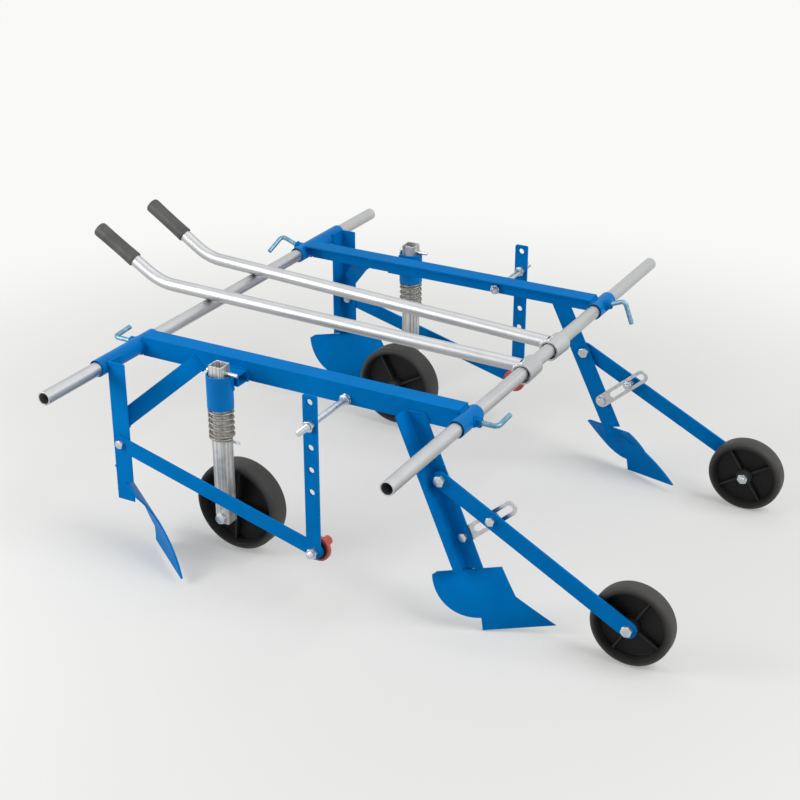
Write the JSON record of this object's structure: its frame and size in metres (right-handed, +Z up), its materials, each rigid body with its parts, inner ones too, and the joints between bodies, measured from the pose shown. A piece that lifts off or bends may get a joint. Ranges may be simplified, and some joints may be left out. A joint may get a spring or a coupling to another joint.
{
  "type": "mulch film layer",
  "caption": "Walk-behind mulch film layer: two side frames that slide on cross bars, with plough shares, film roll plugs, sprung press wheels, covering boards, gauge wheels and lift handles.",
  "frame": {"origin": "on the ground, at the centre of the outline seen from above", "axes": "+X forward, the way it is pushed or drawn; +Y left; +Z up"},
  "size_m": [1.1582, 0.985, 0.4328],
  "materials": {
    "blue_paint": "gloss",
    "galvanised_steel": "satin",
    "zinc_bolts": "satin",
    "spring_steel": "satin",
    "black_plastic": "matte",
    "red_plastic": "satin",
    "grip_rubber": "matte"
  },
  "bodies": {
    "cross_bars": {"rear_crossbar": "galvanised_steel", "front_crossbar": "galvanised_steel"},
    "left_frame": {"left_beam": "blue_paint", "left_rear_sleeve": "blue_paint", "left_front_sleeve": "blue_paint", "left_rear_post": "blue_paint", "left_brace": "blue_paint", "left_front_shank": "blue_paint", "left_plough_share": "blue_paint", "left_cover_board": "blue_paint", "left_guide_pipe": "blue_paint", "left_guide_spacer": "blue_paint", "left_film_arm": "blue_paint", "left_height_bar": "blue_paint", "left_long_bolt": "zinc_bolts", "left_film_disc": "black_plastic", "left_frame_bolts": "zinc_bolts", "left_press_spring": "spring_steel"},
    "left_front_screw": {"left_front_screw": "blue_paint"},
    "left_rear_screw": {"left_rear_screw": "blue_paint"},
    "left_film_plug": {"left_film_plug": "red_plastic"},
    "left_gauge_arm": {"left_gauge_arm": "blue_paint", "left_gauge_bolts": "zinc_bolts"},
    "left_slotted_link": {"left_slotted_link": "galvanised_steel"},
    "left_gauge_wheel": {"left_gauge_wheel": "black_plastic"},
    "left_press_post": {"left_press_post": "galvanised_steel", "left_press_pins": "zinc_bolts"},
    "left_press_wheel": {"left_press_wheel": "black_plastic"},
    "left_handle": {"left_handle_tube": "galvanised_steel", "left_handle_eye": "galvanised_steel", "left_grip": "grip_rubber"},
    "right_frame": {"right_beam": "blue_paint", "right_rear_sleeve": "blue_paint", "right_front_sleeve": "blue_paint", "right_rear_post": "blue_paint", "right_brace": "blue_paint", "right_front_shank": "blue_paint", "right_plough_share": "blue_paint", "right_cover_board": "blue_paint", "right_guide_pipe": "blue_paint", "right_guide_spacer": "blue_paint", "right_film_arm": "blue_paint", "right_height_bar": "blue_paint", "right_long_bolt": "zinc_bolts", "right_film_disc": "black_plastic", "right_frame_bolts": "zinc_bolts", "right_press_spring": "spring_steel"},
    "right_front_screw": {"right_front_screw": "blue_paint"},
    "right_rear_screw": {"right_rear_screw": "blue_paint"},
    "right_film_plug": {"right_film_plug": "red_plastic"},
    "right_gauge_arm": {"right_gauge_arm": "blue_paint", "right_gauge_bolts": "zinc_bolts"},
    "right_slotted_link": {"right_slotted_link": "galvanised_steel"},
    "right_gauge_wheel": {"right_gauge_wheel": "black_plastic"},
    "right_press_post": {"right_press_post": "galvanised_steel", "right_press_pins": "zinc_bolts"},
    "right_press_wheel": {"right_press_wheel": "black_plastic"},
    "right_handle": {"right_handle_tube": "galvanised_steel", "right_handle_eye": "galvanised_steel", "right_grip": "grip_rubber"}
  },
  "joints": [
    {"name": "left_frame_slide", "type": "slide", "parent": "cross_bars", "child": "left_frame", "axis": [0, 1, 0], "range_m": [-0.11, 0.12]},
    {"name": "left_front_screw_turn", "type": "hinge", "parent": "left_frame", "child": "left_front_screw", "pos_m": [0.23756, 0.251, 0.32], "axis": [0.9205, 0, 0.3907], "continuous": true},
    {"name": "left_rear_screw_turn", "type": "hinge", "parent": "left_frame", "child": "left_rear_screw", "pos_m": [-0.35044, 0.251, 0.32], "axis": [-0.9397, 0, 0.342], "continuous": true},
    {"name": "left_film_plug_spin", "type": "hinge", "parent": "left_frame", "child": "left_film_plug", "pos_m": [0.03856, 0.356, 0.099], "axis": [0, 1, 0], "continuous": true},
    {"name": "left_gauge_arm_swing", "type": "hinge", "parent": "left_frame", "child": "left_gauge_arm", "pos_m": [0.20756, 0.27423, 0.22453], "axis": [0, -0.9986, -0.0523], "range_deg": [-15, 20]},
    {"name": "left_slotted_link_swing", "type": "hinge", "parent": "left_frame", "child": "left_slotted_link", "pos_m": [0.24556, 0.2675, 0.13706], "axis": [0, -0.9986, -0.0523], "range_deg": [-8.98, 11.64]},
    {"name": "left_gauge_wheel_spin", "type": "hinge", "parent": "left_gauge_arm", "child": "left_gauge_wheel", "pos_m": [0.51556, 0.26382, 0.06387], "axis": [0, 0.9986, 0.0523], "continuous": true},
    {"name": "left_press_slide", "type": "slide", "parent": "left_frame", "child": "left_press_post", "axis": [0, 0, 1], "range_m": [0, 0.02], "stiffness_N_per_m": 3000, "springref_m": -0.02, "deforming": ["left_press_spring"]},
    {"name": "left_press_wheel_spin", "type": "hinge", "parent": "left_press_post", "child": "left_press_wheel", "pos_m": [-0.15944, 0.2645, 0.0835], "axis": [0, 1, 0], "continuous": true},
    {"name": "left_handle_swing", "type": "hinge", "parent": "cross_bars", "child": "left_handle", "pos_m": [0.23756, 0.052, 0.32], "axis": [0, 1, 0], "range_deg": [0, 165]},
    {"name": "right_frame_slide", "type": "slide", "parent": "cross_bars", "child": "right_frame", "axis": [0, -1, 0], "range_m": [-0.11, 0.12]},
    {"name": "right_front_screw_turn", "type": "hinge", "parent": "right_frame", "child": "right_front_screw", "pos_m": [0.23756, -0.251, 0.32], "axis": [1, 0, 0], "continuous": true},
    {"name": "right_rear_screw_turn", "type": "hinge", "parent": "right_frame", "child": "right_rear_screw", "pos_m": [-0.35044, -0.251, 0.32], "axis": [-1, 0, 0], "continuous": true},
    {"name": "right_film_plug_spin", "type": "hinge", "parent": "right_frame", "child": "right_film_plug", "pos_m": [0.03856, -0.356, 0.099], "axis": [0, 1, 0], "continuous": true},
    {"name": "right_gauge_arm_swing", "type": "hinge", "parent": "right_frame", "child": "right_gauge_arm", "pos_m": [0.20756, -0.27423, 0.22453], "axis": [0, -0.9986, 0.0523], "range_deg": [-15, 20]},
    {"name": "right_slotted_link_swing", "type": "hinge", "parent": "right_frame", "child": "right_slotted_link", "pos_m": [0.24556, -0.2675, 0.13706], "axis": [0, -0.9986, 0.0523], "range_deg": [-8.98, 11.64]},
    {"name": "right_gauge_wheel_spin", "type": "hinge", "parent": "right_gauge_arm", "child": "right_gauge_wheel", "pos_m": [0.51556, -0.26382, 0.06387], "axis": [0, 0.9986, -0.0523], "continuous": true},
    {"name": "right_press_slide", "type": "slide", "parent": "right_frame", "child": "right_press_post", "axis": [0, 0, 1], "range_m": [0, 0.02], "stiffness_N_per_m": 3000, "springref_m": -0.02, "deforming": ["right_press_spring"]},
    {"name": "right_press_wheel_spin", "type": "hinge", "parent": "right_press_post", "child": "right_press_wheel", "pos_m": [-0.15944, -0.2645, 0.0835], "axis": [0, 1, 0], "continuous": true},
    {"name": "right_handle_swing", "type": "hinge", "parent": "cross_bars", "child": "right_handle", "pos_m": [0.23756, -0.052, 0.32], "axis": [0, 1, 0], "range_deg": [0, 165]}
  ],
  "couplings": [
    {"joint": "left_slotted_link_swing", "follows": "left_gauge_arm_swing", "ratio": 0.5321},
    {"joint": "right_slotted_link_swing", "follows": "right_gauge_arm_swing", "ratio": 0.5321}
  ]
}
